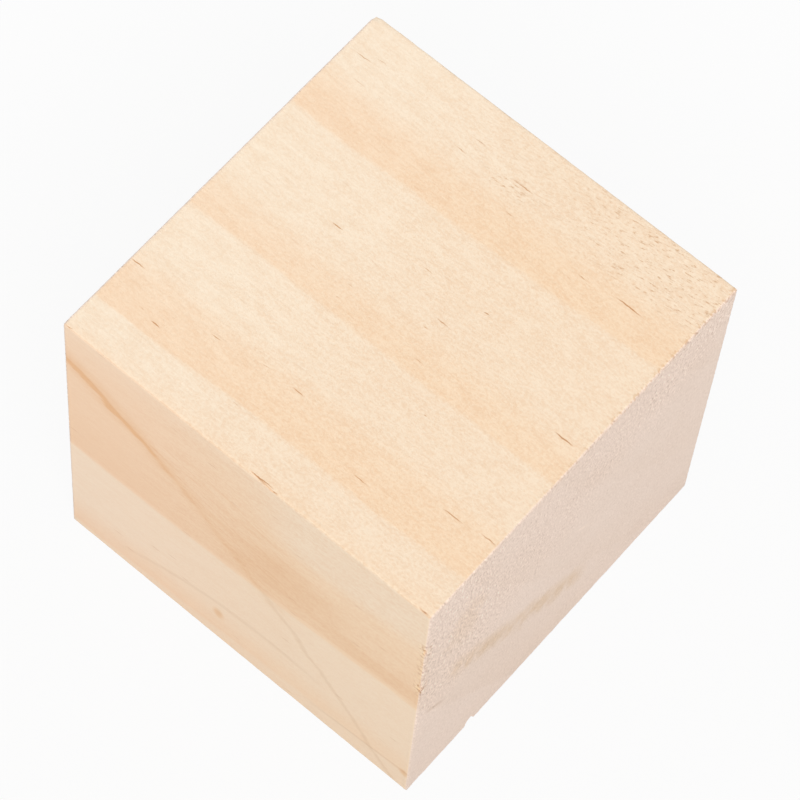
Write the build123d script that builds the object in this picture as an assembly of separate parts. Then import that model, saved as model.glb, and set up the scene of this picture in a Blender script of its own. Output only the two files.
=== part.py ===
"""Solid softwood cube: one block sawn from a planed square stick.

The grain runs along X, so the two X faces are sawn end grain and the other four are planed.
Z is up, and the origin is the centre of the bottom face. All sizes are in millimetres.
Every arris is eased, three top corners are knocked blunt, and a few splinters are torn
from the arrises. Each of those marks is placed by its distance from a corner of the block.
"""

import os

from build123d import *

# The block: the stick's planed section, and the length sawn from it.
cut_length = 50.0
stick_width = 50.0
stick_height = 50.0

# Easing of the arrises by a light rub with fine paper.
arris_radius = 0.15

# How far each knocked corner is cut back along its diagonal, by the signs of X and Y at the top.
blunt_depths = {(-1, 1): 0.40, (-1, -1): 0.22, (1, -1): 0.20}

# Splinters torn from the near top arris, which runs along the grain: distance from the
# block's -X end, length and depth.
top_splinters = [(15.8, 0.9, 0.16), (27.3, 3.0, 0.24)]

# Fibres torn from the near upright arris by the saw: distance below the top, length, depth.
saw_tears = [(9.4, 2.4, 0.32), (13.8, 1.2, 0.20), (19.4, 2.2, 0.28)]

# A chip knocked from the bottom arris of the +X end: distance from the near corner,
# length, depth.
bottom_chip = (10.9, 2.0, 0.75)


def stick_block():
    """The plain block, standing on Z = 0, with every arris eased."""
    block = Box(
        cut_length,
        stick_width,
        stick_height,
        align=(Align.CENTER, Align.CENTER, Align.MIN),
    )
    return fillet(block.edges(), arris_radius)


def corner_cutter(side_x, side_y, depth):
    """A tool block seated square to a top corner's diagonal, to take that corner off."""
    corner = Vector(side_x * cut_length / 2, side_y * stick_width / 2, stick_height)
    diagonal = Vector(side_x, side_y, 1).normalized()
    reach = 8 * depth
    seat = Plane(origin=corner - diagonal * depth, z_dir=diagonal)
    return seat * Box(reach, reach, reach, align=(Align.CENTER, Align.CENTER, Align.MIN))


def splinter_cutter(length, depth):
    """A spindle along X with pointed ends: what it removes from an arris is a torn sliver."""
    back = Line((length / 2, 0), (-length / 2, 0))
    belly = ThreePointArc((-length / 2, 0), (0, depth), (length / 2, 0))
    return revolve(make_face(back + belly), axis=Axis.X, revolution_arc=360)


def torn_places():
    """Every splinter cutter, moved onto its arris."""
    half_length = cut_length / 2
    near = -stick_width / 2
    for along, length, depth in top_splinters:
        place = Pos(along - half_length, near, stick_height)
        yield place * splinter_cutter(length, depth)
    for below, length, depth in saw_tears:
        place = Pos(half_length, near, stick_height - below) * Rot(0, 90, 0)
        yield place * splinter_cutter(length, depth)
    along, length, depth = bottom_chip
    place = Pos(half_length, near + along, 0) * Rot(0, 0, 90)
    yield place * splinter_cutter(length, depth)


wooden_cube = stick_block()
for (side_x, side_y), depth in blunt_depths.items():
    wooden_cube -= corner_cutter(side_x, side_y, depth)
for cutter in torn_places():
    wooden_cube -= cutter

os.makedirs("parts", exist_ok=True)
export_step(wooden_cube, "parts/wooden_cube.step")
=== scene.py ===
"""Solid softwood cube, sawn from a planed stick, with its grain along X.

The block replaces the plain CAD cube: its arrises are worn and torn, its ends are rough from the
saw, and one solid wood material runs through it. Everything is in metres, in the CAD's own frame.
"""

import math
import random

import bmesh
import bpy
from mathutils import Matrix, Quaternion, Vector


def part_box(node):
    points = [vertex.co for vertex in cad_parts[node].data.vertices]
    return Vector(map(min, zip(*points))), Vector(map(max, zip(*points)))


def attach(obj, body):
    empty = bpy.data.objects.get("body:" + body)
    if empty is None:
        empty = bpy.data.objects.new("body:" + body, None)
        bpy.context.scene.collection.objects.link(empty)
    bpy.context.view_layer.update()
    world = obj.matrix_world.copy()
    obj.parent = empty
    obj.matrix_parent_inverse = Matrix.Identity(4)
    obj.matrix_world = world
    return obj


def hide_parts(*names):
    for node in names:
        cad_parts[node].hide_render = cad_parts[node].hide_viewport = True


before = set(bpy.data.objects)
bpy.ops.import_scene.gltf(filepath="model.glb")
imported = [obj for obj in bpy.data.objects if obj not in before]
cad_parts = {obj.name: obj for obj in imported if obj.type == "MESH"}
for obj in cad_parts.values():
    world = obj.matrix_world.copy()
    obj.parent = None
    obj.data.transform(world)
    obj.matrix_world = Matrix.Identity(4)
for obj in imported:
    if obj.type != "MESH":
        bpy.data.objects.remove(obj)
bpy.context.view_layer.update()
bpy.ops.object.select_all(action="DESELECT")

# ---------------------------------------------------------------------------------------------
# The block. One length of a planed stick, cross-cut at both ends: the grain runs along X, so the
# X faces are rough sawn end grain and the other four are planed. The arrises were rubbed once
# with fine paper, and three top corners have since been knocked blunt.
# ---------------------------------------------------------------------------------------------
MM = 0.001
low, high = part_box("wooden_cube")
size = high - low
centre = (low + high) / 2

arris_radius = 0.15 * MM
arris_steps = 3
border = 2.0 * MM
face_cell = 1.0 * MM
end_cell = 0.5 * MM

bpy.ops.mesh.primitive_cube_add(size=1, location=centre, scale=size)
block = bpy.context.active_object
block.name = "pine_block"
bpy.ops.object.transform_apply(location=True, rotation=True, scale=True)


def arris_gaps(point):
    """How deep a point lies under each pair of faces, smallest first: the nearest two make its arris."""
    return sorted(min(point[axis] - low[axis], high[axis] - point[axis]) for axis in range(3))


def select_edges(test):
    """In edit mode, select only the edges that pass the test."""
    shape = bmesh.from_edit_mesh(block.data)
    for edge in shape.edges:
        edge.select_set(test(edge))
    shape.select_flush_mode()
    bmesh.update_edit_mesh(block.data)


def middle(edge):
    """The middle of an edge."""
    return (edge.verts[0].co + edge.verts[1].co) / 2


bpy.ops.object.mode_set(mode="EDIT")
bpy.ops.mesh.select_mode(type="EDGE")
bpy.ops.mesh.select_all(action="SELECT")
bpy.ops.mesh.bevel(offset=arris_radius, segments=arris_steps, profile=0.5, affect="EDGES")

# A border is marked off beside every arris, because the wear needs a finer mesh there.
for axis in range(3):
    for side in (low[axis] + border, high[axis] - border):
        spot = centre.copy()
        spot[axis] = side
        normal = Vector((0, 0, 0))
        normal[axis] = 1
        bpy.ops.mesh.select_all(action="SELECT")
        bpy.ops.mesh.bisect(plane_co=spot, plane_no=normal)

select_edges(lambda edge: edge.calc_length() > 10 * MM)
bpy.ops.mesh.subdivide(number_cuts=round(size.x / face_cell) - 5)
select_edges(lambda edge: 1.2 * MM < edge.calc_length() < 2.2 * MM)
bpy.ops.mesh.subdivide(number_cuts=3)

# The sawn ends get smaller cells all over, and every arris gets two finer steps.
select_edges(
    lambda edge: edge.calc_length() > 1.4 * end_cell
    and abs(middle(edge).x - centre.x) > size.x / 2 - 0.01 * MM
)
bpy.ops.mesh.subdivide(number_cuts=1)
for reach, longest, cuts in ((1.0 * MM, 0.3 * MM, 2), (0.55 * MM, 0.24 * MM, 1)):
    select_edges(
        lambda edge: edge.calc_length() > longest and arris_gaps(middle(edge))[1] < reach
    )
    bpy.ops.mesh.subdivide(number_cuts=cuts)
bpy.ops.object.mode_set(mode="OBJECT")


def weight_group(name, weight):
    """A vertex group on the block, weighted by a function of the place of each point."""
    group = block.vertex_groups.new(name=name)
    for vertex in block.data.vertices:
        amount = weight(vertex.co)
        if amount > 0.01:
            group.add([vertex.index], min(amount, 1), "REPLACE")
    return group


def roughen(name, weight, grain, depth, scale=(1, 1, 1), middle_level=1.0):
    """Push the weighted places in by a cloud texture: grain is the size of its lumps."""
    weight_group(name, weight)
    clouds = bpy.data.textures.new(name, "CLOUDS")
    clouds.noise_scale = grain
    clouds.noise_depth = 2
    stretch = bpy.data.objects.new(name, None)
    stretch.scale = scale
    bpy.context.scene.collection.objects.link(stretch)
    bpy.context.view_layer.update()
    displace = block.modifiers.new(name, "DISPLACE")
    displace.texture = clouds
    displace.texture_coords = "OBJECT"
    displace.texture_coords_object = stretch
    displace.vertex_group = name
    displace.strength = depth
    displace.mid_level = middle_level
    bpy.context.view_layer.objects.active = block
    bpy.ops.object.modifier_apply(modifier=name)
    bpy.data.objects.remove(stretch)
    block.vertex_groups.remove(block.vertex_groups[name])


def end_depth(point):
    """How far a point lies under the nearer sawn end."""
    return size.x / 2 - abs(point.x - centre.x)


def on_sawn_end(point):
    """1 on the sawn ends, fading out just round their arrises."""
    return 1 - end_depth(point) / (0.35 * MM)


def on_end_arris(point):
    """1 on the arrises of the +X end, where the saw tore the fibres, and less on the other's."""
    gaps = arris_gaps(point)
    worn = 0 if end_depth(point) > 0.3 * MM else 1 - gaps[1] / (0.3 * MM)
    return worn if point.x > centre.x else 0.3 * worn


def on_long_arris(point):
    """1 on the four arrises that run along the grain."""
    gaps = arris_gaps(point)
    return 0 if end_depth(point) < 0.2 * MM else 1 - gaps[1] / (0.3 * MM)


def on_planed_face(point):
    """1 on the four planed faces."""
    return 0 if end_depth(point) < 0.5 * MM else 1


roughen("saw_lumps", on_sawn_end, 1.4 * MM, 0.05 * MM)
roughen("saw_fuzz", on_sawn_end, 0.35 * MM, 0.05 * MM)
roughen("end_arris_wear", on_end_arris, 0.4 * MM, 0.08 * MM)
roughen("long_arris_wear", on_long_arris, 0.4 * MM, 0.10 * MM, scale=(4, 1, 1))
roughen("planer_waves", on_planed_face, 3.0 * MM, 0.03 * MM, scale=(3, 1, 1))


def knock_corner(side_x, side_y, depth, reach):
    """Press a top corner in along its diagonal, as a knock does."""
    corner = Vector((centre.x + side_x * size.x / 2, centre.y + side_y * size.y / 2, high.z))
    diagonal = Vector((side_x, side_y, 1)).normalized()
    bpy.ops.object.mode_set(mode="EDIT")
    shape = bmesh.from_edit_mesh(block.data)
    nearest = min((vertex.co - corner).length for vertex in shape.verts)
    for vertex in shape.verts:
        vertex.select_set((vertex.co - corner).length < nearest + 0.12 * MM)
    bmesh.update_edit_mesh(block.data)
    bpy.ops.transform.translate(
        value=-diagonal * depth,
        use_proportional_edit=True,
        proportional_edit_falloff="SMOOTH",
        proportional_size=reach,
    )
    bpy.ops.object.mode_set(mode="OBJECT")


bpy.ops.object.mode_set(mode="EDIT")
bpy.ops.mesh.select_mode(type="VERT")
bpy.ops.object.mode_set(mode="OBJECT")
for side_x, side_y, depth, reach in ((-1, 1, 0.20, 0.9), (-1, -1, 0.03, 0.4), (1, -1, 0.03, 0.3)):
    knock_corner(side_x, side_y, depth * MM, reach * MM)


# ---------------------------------------------------------------------------------------------
# Torn places. Splinters have gone from the near top arris, the saw tore fibres from the near
# upright one, and the bottom arris of the +X end lost a chip. They lie where the CAD has them.
# ---------------------------------------------------------------------------------------------
top_splinters = [(15.8, 0.9, 0.16)]
lifted_splinter = (27.3, 3.0, 0.24)
saw_tears = [(9.4, 2.4, 0.32), (13.8, 1.2, 0.20), (19.4, 2.2, 0.28)]
bottom_chip = (10.9, 2.0, 0.75)


def tearing_tool(where, half_sizes, turn=0):
    """A rough lump, to be cut from the block, turned about Z by so many degrees."""
    bpy.ops.mesh.primitive_ico_sphere_add(subdivisions=4, radius=1, location=(0, 0, 0))
    lump = bpy.context.active_object
    lump.data.transform(Matrix.Diagonal((*half_sizes, 1)))
    lump.data.transform(Matrix.Translation(where) @ Matrix.Rotation(math.radians(turn), 4, "Z"))
    ragged = bpy.data.textures.new("ragged", "CLOUDS")
    ragged.noise_scale = 0.3 * MM
    rough = lump.modifiers.new("ragged", "DISPLACE")
    rough.texture = ragged
    rough.texture_coords = "LOCAL"
    rough.strength = 0.5 * min(half_sizes)
    bpy.ops.object.modifier_apply(modifier="ragged")
    return lump


tools = []
along, length, depth = lifted_splinter
for at, half_length, inset in ((-0.1, 0.5, 1.0), (0.42, 0.17, 0.45)):
    where = Vector((low.x + (along + at * length) * MM, low.y + inset * depth * MM, high.z))
    tools.append(tearing_tool(where, (half_length * length * MM, 0.07 * MM, depth * MM), -4))
corner = Vector((high.x, low.y, high.z))
for back, inset, half_length, turn in ((0.85, 0.13, 0.5, -14), (0.28, 0.12, 0.26, 32)):
    where = corner + Vector((-back, inset, 0)) * MM
    tools.append(tearing_tool(where, (half_length * MM, 0.05 * MM, 0.2 * MM), turn))
for along, length, depth in top_splinters:
    where = Vector((low.x + along * MM, low.y, high.z))
    tools.append(tearing_tool(where, (length / 2 * MM, depth * MM, depth * MM)))
for below, length, depth in saw_tears:
    where = Vector((high.x, low.y, high.z - below * MM))
    tools.append(tearing_tool(where, (depth * MM, depth * MM, length / 2 * MM)))
along, length, depth = bottom_chip
where = Vector((high.x, low.y + along * MM, low.z))
tools.append(tearing_tool(where, (1.15 * depth * MM, 0.42 * length * MM, 1.9 * depth * MM)))
for tool in tools:
    cut = block.modifiers.new("torn", "BOOLEAN")
    cut.operation = "DIFFERENCE"
    cut.solver = "MANIFOLD"
    cut.object = tool
    bpy.context.view_layer.objects.active = block
    bpy.ops.object.modifier_apply(modifier="torn")
    bpy.data.objects.remove(tool)

# The cuts leave vertices that lie on one another, or along an edge between two faces. They are
# merged and dissolved, because two faces that meet twice would otherwise close into a loose flap.
bpy.ops.object.select_all(action="DESELECT")
block.select_set(True)
bpy.ops.object.mode_set(mode="EDIT")
bpy.ops.mesh.select_all(action="SELECT")
bpy.ops.mesh.remove_doubles(threshold=0.002 * MM)
shape = bmesh.from_edit_mesh(block.data)
for vertex in shape.verts:
    vertex.select_set(len(vertex.link_edges) == 2)
shape.select_flush_mode()
bmesh.update_edit_mesh(block.data)
bpy.ops.mesh.dissolve_verts()
bpy.ops.object.mode_set(mode="OBJECT")

# The fibres that the saw tore but left: thin pointed slivers, modelled once and copied along the
# arrises of the +X end, thickest in the two tears.
bpy.ops.object.select_all(action="DESELECT")
bpy.ops.mesh.primitive_cone_add(vertices=5, radius1=0.5, radius2=0.06, depth=1, location=(0, 0, 0.5))
fibre = bpy.context.active_object
bpy.ops.object.transform_apply(location=True)
bpy.ops.object.mode_set(mode="EDIT")
bpy.ops.mesh.select_all(action="SELECT")
bpy.ops.mesh.bisect(plane_co=(0, 0, 0.5), plane_no=(0, 0, 1))
shape = bmesh.from_edit_mesh(fibre.data)
for vertex in shape.verts:
    vertex.select_set(vertex.co.z > 0.9)
shape.select_flush_mode()
bmesh.update_edit_mesh(fibre.data)
bpy.ops.transform.translate(
    value=(0.35, 0, 0),
    use_proportional_edit=True,
    proportional_edit_falloff="SHARP",
    proportional_size=1.0,
)
bpy.ops.object.mode_set(mode="OBJECT")
chance = random.Random(7)
fibres_made = []


def lay_fibre(root, direction, length, thickness):
    """Copy the fibre to its root, pointing along a direction."""
    copy = fibre.copy()
    copy.data = fibre.data.copy()
    turn = direction.to_track_quat("Z", "Y") @ Quaternion((0, 0, 1), chance.uniform(0, math.tau))
    stretch = Matrix.Diagonal((thickness, thickness, length, 1))
    copy.data.transform(Matrix.Translation(root) @ turn.to_matrix().to_4x4() @ stretch)
    bpy.context.scene.collection.objects.link(copy)
    fibres_made.append(copy)


# Down the near upright arris: the places of the tears, how far they spread, and how many fibres.
tuft_places = ((9.4, 0.9, 26), (13.8, 2.6, 12), (19.4, 0.9, 24), (22.5, 1.6, 10), (6.5, 1.2, 5))
for below, spread, count in tuft_places:
    for _ in range(count):
        drop = chance.gauss(below, spread)
        root = Vector((high.x - chance.uniform(0.1, 0.5) * MM, low.y + 0.09 * MM, high.z - drop * MM))
        lean = Vector((chance.uniform(0.2, 1.0), chance.uniform(-0.25, 0.1), chance.uniform(-1.0, 0.7)))
        reach = chance.uniform(0.25, 0.55) * MM
        lay_fibre(root, lean, reach, chance.uniform(0.05, 0.09) * MM)
# Along the top arris of the same end, thicker towards its far corner.
for _ in range(70):
    across = high.y - abs(chance.gauss(0, 15)) * MM
    if across > low.y + 1 * MM:
        root = Vector((high.x - chance.uniform(0.05, 0.4) * MM, across, high.z - 0.08 * MM))
        lean = Vector((chance.uniform(0.3, 1.0), chance.uniform(-0.8, 0.8), chance.uniform(-0.2, 0.12)))
        lay_fibre(root, lean, chance.uniform(0.15, 0.4) * MM, chance.uniform(0.04, 0.07) * MM)
bpy.data.objects.remove(fibre)
bpy.ops.object.select_all(action="DESELECT")
for copy in fibres_made:
    copy.select_set(True)
bpy.context.view_layer.objects.active = fibres_made[0]
bpy.ops.object.join()
torn_fibres = bpy.context.active_object
torn_fibres.name = "torn_fibres"
for vertex in torn_fibres.data.vertices:
    for axis in range(3):
        vertex.co[axis] = max(low[axis], min(high[axis], vertex.co[axis]))

# ---------------------------------------------------------------------------------------------
# The wood: bare fast-grown pine, never coated. Wide growth rings, pale where the wood grew in
# spring and orange before each ring's edge, run along the grain, with resin canals cut open on
# the faces. The sawn ends are greyer. The material is solid, in millimetres of Object space.
# ---------------------------------------------------------------------------------------------
wood = bpy.data.materials.new("bare_pine")
wood.use_nodes = True
wood.node_tree.nodes.clear()


class Socket:
    """An output of one shader node. Its operators add Math nodes, so that a sum reads as one."""

    tree = wood.node_tree

    def __init__(self, output):
        self.output = output

    @staticmethod
    def node(kind, settings=None, inputs=None, result=0):
        """Add a node: its settings first, then the values or links of its sockets."""
        made = Socket.tree.nodes.new("ShaderNode" + kind)
        for name, value in (settings or {}).items():
            if name == "stops":
                elements = made.color_ramp.elements
                for index, (position, grey) in enumerate(value):
                    stop = elements[index] if index < 2 else elements.new(position)
                    stop.position = position
                    stop.color = (grey, grey, grey, 1)
            else:
                setattr(made, name, value)
        for key, value in (inputs or {}).items():
            if isinstance(value, Socket):
                Socket.tree.links.new(value.output, made.inputs[key])
            else:
                made.inputs[key].default_value = value
        return Socket(made.outputs[result]) if made.outputs else None

    @staticmethod
    def maths(operation, *values):
        return Socket.node("Math", {"operation": operation}, dict(enumerate(values)))

    def __add__(self, other):
        return Socket.maths("ADD", self, other)

    __radd__ = __add__

    def __sub__(self, other):
        return Socket.maths("SUBTRACT", self, other)

    def __rsub__(self, other):
        return Socket.maths("SUBTRACT", other, self)

    def __mul__(self, other):
        return Socket.maths("MULTIPLY", self, other)

    __rmul__ = __mul__

    def __truediv__(self, other):
        return Socket.maths("DIVIDE", self, other)

    def __neg__(self):
        return Socket.maths("MULTIPLY", self, -1)

    def __abs__(self):
        return Socket.maths("ABSOLUTE", self)


def parts(vector):
    """The three numbers of a vector."""
    split = Socket.node("SeparateXYZ", inputs={0: vector}).output.node
    return [Socket(output) for output in split.outputs]


def stretched(vector, scale):
    """A vector with each of its numbers scaled, to draw a pattern out along one of them."""
    return Socket.node("VectorMath", {"operation": "MULTIPLY"}, {0: vector, 1: scale})


def noise(vector, scale, detail=2.0, roughness=0.5):
    """Soft noise about zero, with so many lumps to the millimetre along each axis."""
    inputs = {"Vector": stretched(vector, scale), "Scale": 1, "Detail": detail, "Roughness": roughness}
    return Socket.node("TexNoise", inputs=inputs) - 0.5


def step(value, start, end):
    """0 before start and 1 past end, eased between them."""
    settings = {"interpolation_type": "SMOOTHSTEP"}
    return Socket.node("MapRange", settings, {"Value": value, "From Min": start, "From Max": end})


def larger(first, second):
    return Socket.maths("MAXIMUM", first, second)


def root_of_squares(*values):
    total = values[0] * values[0]
    for value in values[1:]:
        total = total + value * value
    return Socket.maths("SQRT", total)


def blend(factor, first, second):
    """The first colour where the factor is 0 and the second where it is 1."""
    return Socket.node("Mix", {"data_type": "RGBA"}, {0: factor, 6: first, 7: second}, result=2)


def tint(factor, colour, by):
    """The colour multiplied by another, as far as the factor says."""
    settings = {"data_type": "RGBA", "blend_type": "MULTIPLY"}
    return Socket.node("Mix", settings, {0: factor, 6: colour, 7: by}, result=2)


place = stretched(Socket.node("TexCoord", result="Object"), (1000, 1000, 1000))
x, y, z = parts(place)

# The fibres climb towards +X and lean a little towards -Y, so all patterns follow these two.
across = y + 0.029 * x
climb = z - 0.1 * x - 0.0008 * x * x
fibres = Socket.node("CombineXYZ", inputs={0: x, 1: across, 2: climb})

# Face masks. The near side is -Y and the far side is +Y; the ends are sawn.
on_top = step(z, 49.75, 49.92)
on_near = step(-y, 24.75, 24.92)
on_end = step(abs(x), 24.70, 24.86)
on_right_end = step(x, 24.70, 24.86)


def growth_rings():
    """How dark the wood is for its place in its ring: 0 in spring wood, 0.5 in common latewood."""
    pith = 95.0
    ragged = 0.5 * noise(fibres, (0.12, 2.0, 2.0), 3) + 1.8 * noise(fibres, (0.03, 0.09, 0.09), 2)
    radius = root_of_squares(across - pith, climb - pith) + ragged
    innermost, outermost = 76.0, 160.0
    # Each ring: where it starts to darken, where it is nearly full, its tones there and at its
    # end, and the radius at which it ends.
    rings = [
        (88.5, 92.0, 0.36, 0.46, 95.3),
        (104.0, 107.5, 0.30, 0.40, 110.3),
        (115.8, 118.6, 0.30, 0.50, 123.5),
        (125.5, 131.5, 0.52, 0.78, 140.2),
        (147.0, 149.5, 0.22, 0.30, 151.5),
    ]
    stops = [(0, 0), (1, 0)]
    for start, full, tone, last_tone, end in rings:
        for at, grey in ((start, 0), (full, tone), (end - 0.35, last_tone), (end + 0.25, 0)):
            stops.append(((at - innermost) / (outermost - innermost), grey))
    fraction = (radius - innermost) / (outermost - innermost)
    return Socket.node("ValToRGB", {"stops": stops}, {0: fraction})


def near_side_figure(tone):
    """The flat-sawn -Y side shows a darker belly, and stays pale at its upper right."""
    clouds = noise(fibres, (0.06, 0.3, 0.3), 3)
    belly = 1 - step(root_of_squares((x - 6) / 11, (climb - 31) / 7.5) + clouds, 0.1, 1.1)
    edge = 1 - step(root_of_squares((x - 22) / 16, (climb - 23) / 5) + clouds, 0.1, 1.1)
    pale = step(x, -2, 10) * step(climb, 33.5, 41)
    over = step(climb, 22.9, 23.2)
    tone = tone + on_near * over * (0.34 * belly + 0.42 * edge)
    return tone * (1 - 0.85 * pale * on_near)


def oval(first, second):
    """1 in the middle of an oval, fading to 0 at its rim."""
    return 1 - step(root_of_squares(first, second), 0.2, 1)


def near_side_streaks():
    """How strong are the brown resin streak and the grey lines on the -Y side. The brown streak
    runs down from the upper left, fans out in thin strands, and ends as a faint grey line."""
    wisps = noise(fibres, (0.14, 1.3, 1.3), 3, 0.6)
    wave = noise(fibres, (0.15, 0.25, 0.25), 2)
    away = (z - 25.8 + 0.9 * x + 0.01 * x * x + 1.6 * wisps + 2.5 * wave) * 0.75
    core = 1 - step(abs(away), 0.1, 0.8)
    glow = 1 - step(abs(away - 0.3), 0.3, 2.6)
    fade = (1 - step(x, -22, -2) * 0.65) * (1 + 1.5 * wisps)
    brown = (0.6 * core + 0.45 * glow + 0.4 * core * (1 - step(x, -18, -8))) * fade * (1 - step(x, 0, 8))
    strands = noise(Socket.node("CombineXYZ", inputs={0: x, 1: y, 2: z + 0.2 * x}), (0.12, 1.0, 2.2), 3, 0.7)
    fan = step(away, 0, 1.5) * (1 - step(z, 38, 42)) * step(x, -21, -12) * (1 - step(x, 2, 12))
    brown = brown + fan * step(strands, -0.06, 0.2) * 0.45
    grey = core * step(x, 0, 8) * 0.5
    arch = z - 10.6 + 0.0135 * (x - 5) * (x - 5) + 1.2 * wisps
    grey = grey + (1 - step(abs(arch), 0.1, 0.7)) * step(x, -20, -10) * (1 - step(x, 6, 14)) * 0.45
    low_line = z - 3 - 0.133 * (x - 10) + 0.8 * wisps
    grey = grey + (1 - step(abs(low_line), 0.05, 0.4)) * step(x, 8, 16) * 0.6
    spots = larger(oval((x + 3) / 1.1, (z - 7) / 1.6), oval((x - 24.3) / 0.9, (z - 4.6) / 1.2))
    return (brown + 0.8 * spots) * on_near, grey * on_near


tone = near_side_figure(growth_rings())
# Painted light: the wood is painted paler and less orange towards -X, as light falling off along it.
painted_falloff = step(x, 8, -22)
early = blend(painted_falloff, (0.950, 0.750, 0.560, 1), (0.972, 0.798, 0.618, 1))
late = blend(painted_falloff, (0.948, 0.700, 0.484, 1), (0.960, 0.714, 0.506, 1))
dark = (0.905, 0.625, 0.405, 1)
colour = blend(step(tone, 0, 0.5), early, late)
colour = blend(step(tone, 0.5, 1.05), colour, dark)
brown_streak, grey_streak = near_side_streaks()
colour = tint(brown_streak, colour, (0.90, 0.76, 0.60, 1))
colour = tint(grey_streak, colour, (0.86, 0.81, 0.76, 1))
# Painted shade: the lowest part of the -Y side is painted darker near the floor, less so towards +X.
colour = tint((1 - step(z, 1, 9)) * (1 - 0.5 * step(x, -8, 10)) * on_near, colour, (0.985, 0.96, 0.945, 1))
colour = tint((1 - step(x, -18, 14)) * on_near, colour, (1.01, 0.972, 0.96, 1))

# Fine mottling and fibre lines, strongest on the fuzzy top face.
mottle = noise(fibres, (2.3, 3.5, 3.5), 4, 0.78)
lines = noise(fibres, (0.13, 2.4, 2.4), 3, 0.6)
belly_fuzz = on_near * step(climb, 22.9, 23.4) * step(x, -20, -5)
face_fuzz = 0.42 + 0.58 * on_top + 0.4 * belly_fuzz
drifts = noise(fibres, (0.3, 0.9, 0.9), 3, 0.6)
coarser = 1.3 + 0.9 * step(x, -20, 0)
mottling = step(mottle * coarser + drifts * 0.8 + 0.5 * (1 - on_top) * lines, -0.35, 0.45) * face_fuzz
colour = tint(mottling, colour, (0.93, 0.85, 0.785, 1))
colour = tint(0.5 * face_fuzz, colour, (1.069, 1.145, 1.19, 1))


def resin_canals():
    """Resin canals that the planer cut open on the top: along X and Y, length, darkness."""
    canals = [
        (-22.5, 20.0, 2.7, 0.5), (-20.6, 20.9, 2.2, 0.35), (-6.5, 20.4, 1.8, 0.45),
        (-7.4, 18.3, 1.4, 0.5), (0.6, 19.3, 2.6, 0.6), (-20.8, 17.3, 2.4, 0.3),
        (1.4, 15.8, 1.8, 0.4), (17.7, 15.7, 3.4, 1.0), (11.9, 15.1, 1.4, 0.5),
        (-2.1, 12.9, 1.0, 0.3), (-11.2, 2.6, 1.6, 0.8), (-0.8, 5.0, 1.8, 0.4),
        (7.1, 5.2, 0.8, 0.7), (4.3, 1.3, 1.8, 0.6), (3.4, -0.3, 0.8, 0.4),
        (22.3, -0.6, 2.4, 1.2), (-5.6, -1.8, 1.0, 0.35), (5.3, -3.7, 1.2, 0.4),
        (-5.8, -3.7, 0.6, 0.3), (9.9, -8.1, 0.5, 0.5), (-23.9, -14.6, 2.0, 0.8),
        (-12.1, -15.6, 1.4, 0.6), (-6.0, -14.7, 1.2, 0.35), (-1.6, -14.7, 1.8, 0.65),
        (19.3, -14.8, 2.8, 0.7), (23.7, -14.4, 2.2, 0.65), (-17.8, -18.7, 1.3, 0.9),
        (-20.0, -18.2, 0.8, 0.3), (9.6, -18.0, 2.4, 0.55), (-5.5, -20.0, 1.2, 0.3),
        # Those along the near arris are cracks beside its lifted splinter and its two corners.
        (2.2, -24.66, 3.2, 0.7), (4.0, -24.84, 0.9, 0.6), (23.9, -24.8, 1.5, 0.6), (-24.2, -24.85, 1.2, 0.5),
    ]
    half_width = 0.10
    wander = 0.30 * noise(fibres, (1.4, 0.6, 0.6), 2)
    found = None
    for at_x, at_y, length, strength in canals:
        beside = (y - at_y + wander) / half_width
        reach = root_of_squares((x - at_x) / (length * 0.62), beside)
        mark = Socket.maths("MAXIMUM", 1 - reach, 0) * strength
        found = mark if found is None else larger(found, mark)
    return found * on_top


canals = resin_canals()
cells = Socket.node(
    "TexVoronoi",
    inputs={"Vector": stretched(fibres, (0.11, 0.75, 0.75)), "Scale": 1},
    result="Distance",
)
specks = (1 - step(cells, 0.03, 0.11)) * (1 - 0.6 * on_top)
marks = larger(step(canals, 0.02, 0.6), 0.35 * specks)
colour = tint(marks, colour, (0.64, 0.44, 0.29, 1))

# Torn grain along the far side of the top, dense with fine short checks towards its right.
torn_zone = step(y, 15.5, 19.5) * step(x, -14, -5) * (0.3 + 0.7 * step(x, 0, 18))
torn_zone = larger(torn_zone, oval((x + 0.7) / 5.5, (y - 18.5) / 1.8)) * on_top
slanting = Socket.node("CombineXYZ", inputs={0: x, 1: across - 0.2 * x, 2: climb})
checks = noise(slanting, (1.0, 4.2, 4.2), 3, 0.65)
torn = step(checks, 0.04, 0.2) * torn_zone
flecks = step(-checks, 0.04, 0.2) * torn_zone
colour = tint(torn * 0.9, colour, (0.72, 0.57, 0.44, 1))
colour = tint(flecks * 0.7, colour, (1.05, 1.08, 1.10, 1))


# The saw left the upper part of the ends fuzzy, and rubbed them smoother below a slanting line.
upper = step(z - 0.5 * y, 24, 38)


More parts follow.
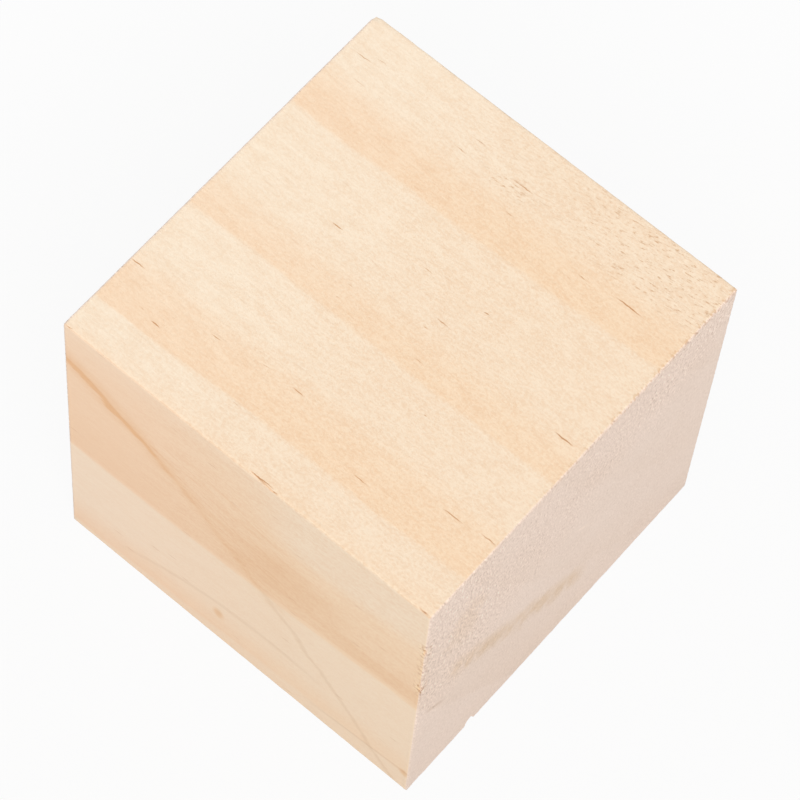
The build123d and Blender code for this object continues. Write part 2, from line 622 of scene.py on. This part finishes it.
def end_grain():
    """Sawn end colour: grey-pink, granular with painted shade and highlight specks, a brown streak at +X."""
    grain = noise(place, (0.6, 2.8, 1.8), 4, 0.75)
    clouds = noise(place, (0.1, 0.22, 0.22), 3)
    shade = blend(step(tone, 0, 1), (0.905, 0.742, 0.636, 1), (0.880, 0.712, 0.598, 1))
    shade = tint(step(grain + 0.5 * clouds, -0.2, 0.3), shade, (0.95, 0.935, 0.92, 1))
    # How strong the specks of painted shade and painted highlight below are, where the saw left fuzz.
    fuzz = (0.42 + 0.58 * upper) * (0.75 + 0.9 * upper * step(abs(y + 1), 8, 18)) * (0.95 + 1.5 * clouds)
    shade = tint(upper, shade, (1.065, 1.055, 1.05, 1))
    # Painted shade and painted highlights: dark pits and light specks for the relief of the torn fibres.
    shade = tint(step(grain, 0.05, 0.16) * fuzz, shade, (0.76, 0.72, 0.69, 1))
    shade = tint(step(-grain, 0.04, 0.13) * fuzz, shade, (1.22, 1.24, 1.25, 1))
    blotches = noise(place, (0.2, 0.5, 0.5), 3, 0.6)
    slant = (z - 25.3 + 0.62 * (y + 19)) * 0.85 + 4 * blotches
    along = step(y, -21, -17) * (1 - step(y, 2, 6))
    streak = (1 - step(abs(slant), 0.2, 3)) * along * (0.75 + 2.5 * clouds + 2 * blotches)
    shade = tint(streak * on_right_end, shade, (0.91, 0.85, 0.74, 1))
    patch = oval((y + 18) / 4 + 2 * blotches, (z - 37) / 8 + 2 * grain)
    shade = tint(patch * on_right_end * 0.6, shade, (0.95, 0.91, 0.84, 1))
    mark = oval((y + 21.8) / 2.4, (z - 19.8 + 0.7 * (y + 21.8)) / 0.8 + 2 * blotches)
    shade = tint(mark * on_right_end, shade, (0.88, 0.84, 0.80, 1))
    pale = oval((y - 2.5) / 2, (z - 26 + 0.8 * (y - 2.5)) / 0.5 + 2 * blotches)
    shade = tint(pale * on_right_end, shade, (1.06, 1.06, 1.05, 1))
    scratch = (1 - step(abs(y + 5.75), 0.03, 0.14)) * step(z, 24, 30) * on_right_end
    return tint(scratch * step(grain, -0.1, 0.15) * 0.7, shade, (0.78, 0.74, 0.72, 1))


colour = blend(on_end, colour, end_grain())

# The worn arrises are a little darker than the faces, and ragged along the top of the +X end.
near_rim = step(-y, 24.82, 24.93)
top_rim = step(z, 49.82, 49.93)
end_rim = step(x, 24.82, 24.93)
colour = tint(near_rim * larger(top_rim, 0.7 * end_rim), colour, (0.93, 0.90, 0.86, 1))
dashes = step(noise(place, (1.6, 2.4, 2.4), 2), 0.0, 0.12)
fringe = step(x, 24.2, 24.8) * step(z, 49.3, 49.8) * (0.25 + 0.75 * step(y, -16, 12))
colour = tint(larger(0.5 * top_rim * end_rim, dashes * fringe), colour, (0.84, 0.74, 0.64, 1))

# Tufts of torn fibres, light and dark, on the near upright arris of the +X end.
tufts = larger(1 - step(abs(z - 40.6), 0.7, 2.2), 1 - step(abs(z - 30.6), 0.7, 2.0))
tufts = larger(tufts, 0.5 * (1 - step(abs(z - 35.5), 1, 7)))
tufts = tufts * (1 - step(root_of_squares(x - 25, y + 25), 0.5, 1.3))
frays = noise(Socket.node("CombineXYZ", inputs={0: x + 0.5 * z, 1: y - 0.5 * z, 2: z}), (2.2, 2.2, 3.0), 2)
colour = tint(step(frays, 0.02, 0.12) * tufts, colour, (0.68, 0.52, 0.38, 1))
colour = tint(step(-frays, 0.0, 0.1) * tufts, colour, (1.08, 1.12, 1.08, 1))

# Heights for the bump, in units of its distance: fuzz, fibre lines and saw tears.
saw_grain = noise(place, (0.6, 3.6, 3.6), 3, 0.7)
kerf = noise(place, (0.3, 0.25, 2.2), 2)
end_relief = saw_grain * (0.9 + 2.1 * upper) + 0.5 * kerf
face_relief = (0.9 * mottle + 0.8 * lines) * face_fuzz
relief = face_relief + on_end * (end_relief - face_relief)
bump = Socket.node(
    "Bump",
    inputs={"Strength": 0.6, "Distance": 0.12 * MM, "Height": relief},
    result="Normal",
)

shader = Socket.node(
    "BsdfPrincipled",
    inputs={
        "Base Color": colour,
        "Roughness": 0.72 + 0.12 * on_end + 0.2 * mottle,
        "Normal": bump,
        "Specular IOR Level": 0.25,
    },
)
Socket.node("OutputMaterial", inputs={"Surface": shader})

block.data.materials.clear()
block.data.materials.append(wood)
bpy.ops.object.select_all(action="DESELECT")
block.select_set(True)
bpy.context.view_layer.objects.active = block
bpy.ops.object.shade_smooth_by_angle(angle=math.radians(35))
torn_fibres.data.materials.clear()
torn_fibres.data.materials.append(wood)
for piece in (block, torn_fibres):
    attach(piece, "root")
    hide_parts("wooden_cube")

# ---------------------------------------------------------------------------------------------
# The studio: a white sweep, an even white surround and one large soft lamp. The sweep is white to
# the camera and in reflections, and keeps a faint trace of the block's shadow. Round the block's
# foot its paper is painted darker: painted shade, which also dims the light it throws on the block.
# ---------------------------------------------------------------------------------------------
bpy.ops.mesh.primitive_plane_add(size=6, location=(0, 0, low.z - 0.02 * MM))
floor = bpy.context.active_object
floor.name = "floor"


def white_to_camera(tree):
    """1 for rays that show the surround itself: from the camera, or by gloss or glass."""
    Socket.tree = tree
    rays = Socket.node("LightPath").output.node.outputs
    seen = [Socket(rays[name]) for name in ("Is Camera Ray", "Is Glossy Ray", "Is Transmission Ray")]
    return larger(larger(seen[0], seen[1]), seen[2])


paper = bpy.data.materials.new("white_paper")
paper.use_nodes = True
paper.node_tree.nodes.clear()
shown = white_to_camera(paper.node_tree)
floor_x, floor_y, floor_z = parts(Socket.node("TexCoord", result="Object"))
# Painted shade: the paper is darker near the block, 0.62 beside it and 0.80 further out.
far_out = step(root_of_squares(floor_x, floor_y), 0.7 * size.x, 2.4 * size.x)
paper_with_painted_shade = blend(far_out, (0.62, 0.62, 0.62, 1), (0.80, 0.80, 0.80, 1))
matte = Socket.node("BsdfDiffuse", inputs={"Color": paper_with_painted_shade})
white = Socket.node("Emission", inputs={"Color": (1, 1, 1, 1), "Strength": 1})
surface = Socket.node("MixShader", inputs={0: shown * 0.92, 1: matte, 2: white})
Socket.node("OutputMaterial", inputs={"Surface": surface})
floor.data.materials.append(paper)

ambient = 0.55
world = bpy.data.worlds.new("surround")
world.use_nodes = True
world.node_tree.nodes.clear()
bpy.context.scene.world = world
shown = white_to_camera(world.node_tree)
strength = ambient + shown * (1 - ambient)
surround = Socket.node("Background", inputs={"Color": (1, 1, 1, 1), "Strength": strength})
Socket.node("OutputWorld", inputs={"Surface": surround})

key = bpy.data.lights.new("key", "SUN")
key.energy = 1.765
key.angle = math.radians(35)
key_lamp = bpy.data.objects.new("key", key)
towards_key = Vector((0.21, -0.214, 0.40))
key_lamp.rotation_mode = "QUATERNION"
key_lamp.rotation_quaternion = towards_key.to_track_quat("Z", "Y")
bpy.context.scene.collection.objects.link(key_lamp)

# The camera looks steeply down over the near right upright arris, tipped a little to the left.
azimuth, elevation, roll = math.radians(34.49), math.radians(64.38), math.radians(6.49)
distance = 9.173 * size.x
aim = centre + Vector((0, 0.029 * size.y, 0))
back = Vector((
    math.sin(azimuth) * math.cos(elevation),
    -math.cos(azimuth) * math.cos(elevation),
    math.sin(elevation),
))
camera = bpy.data.objects.new("camera", bpy.data.cameras.new("camera"))
camera.data.lens = 188.2
camera.location = aim + back * distance
camera.rotation_mode = "QUATERNION"
camera.rotation_quaternion = (-back).to_track_quat("-Z", "Y") @ Quaternion((0, 0, 1), roll)
bpy.context.scene.collection.objects.link(camera)
bpy.context.scene.camera = camera

bpy.context.scene.view_settings.view_transform = "Standard"
